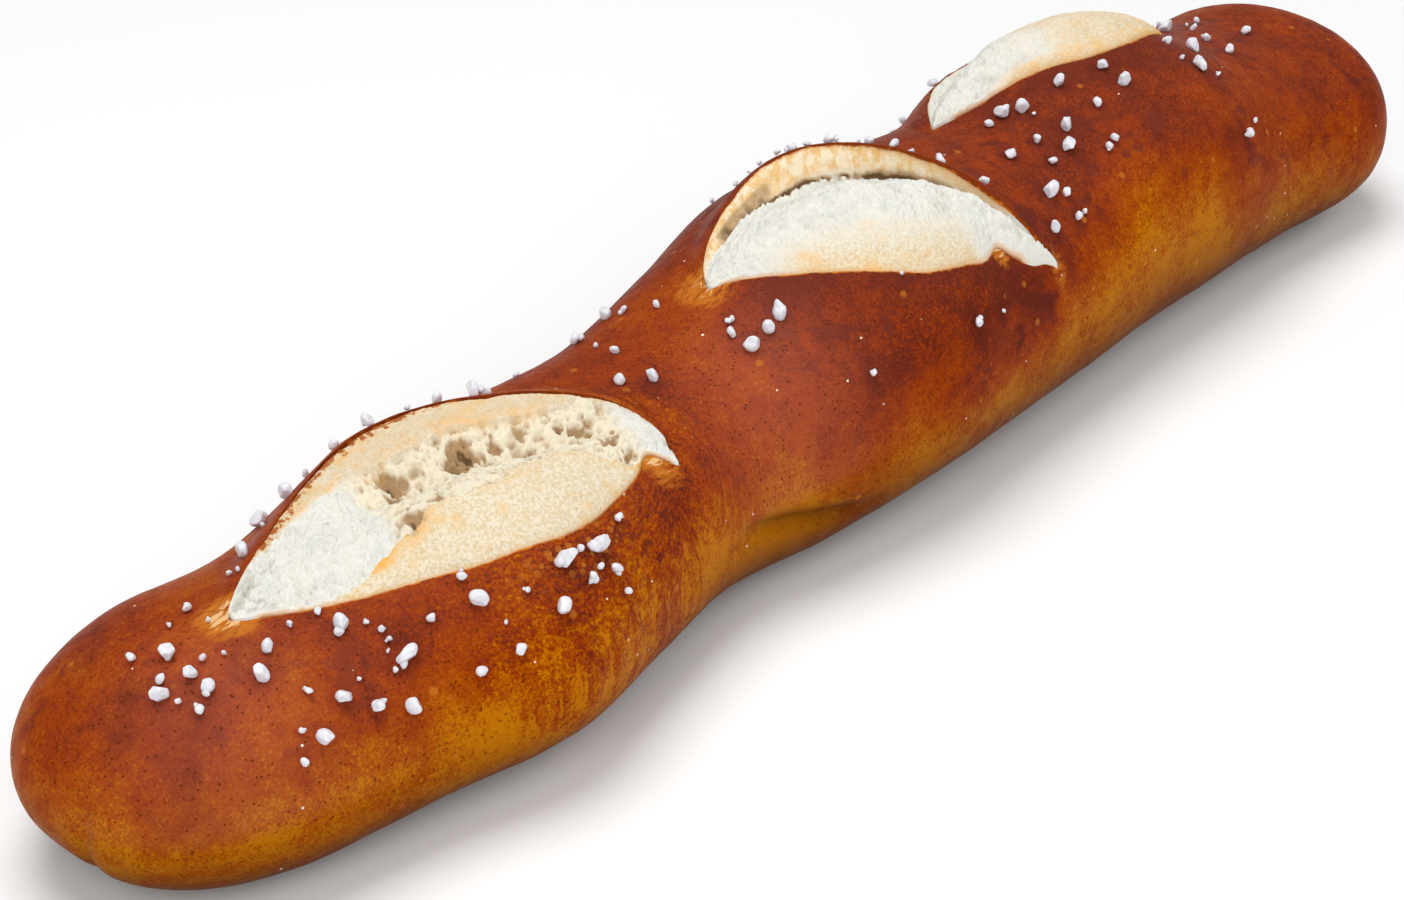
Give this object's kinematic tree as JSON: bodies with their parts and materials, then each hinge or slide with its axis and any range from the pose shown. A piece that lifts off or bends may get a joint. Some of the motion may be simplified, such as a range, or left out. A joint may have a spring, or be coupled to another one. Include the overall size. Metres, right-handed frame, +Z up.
{
  "type": "pretzel baguette",
  "caption": "Baked lye loaf: a long round-ended roll with a smooth brown crust, opened slashes that show torn crumb, and coarse salt. It rests on its flat underside.",
  "frame": {"origin": "on the floor, under the middle of the loaf's box", "axes": "+X along the loaf to its far end in the picture, -Y towards the flank that faces the camera, +Z up"},
  "size_m": [0.29, 0.0582, 0.0513],
  "materials": {
    "bread": "smooth, slightly glossy red-brown lye crust, golden on the lower flanks, with pale matte crumb in the slashes and white salt"
  },
  "bodies": {
    "root": {"loaf": "bread"}
  },
  "joints": []
}
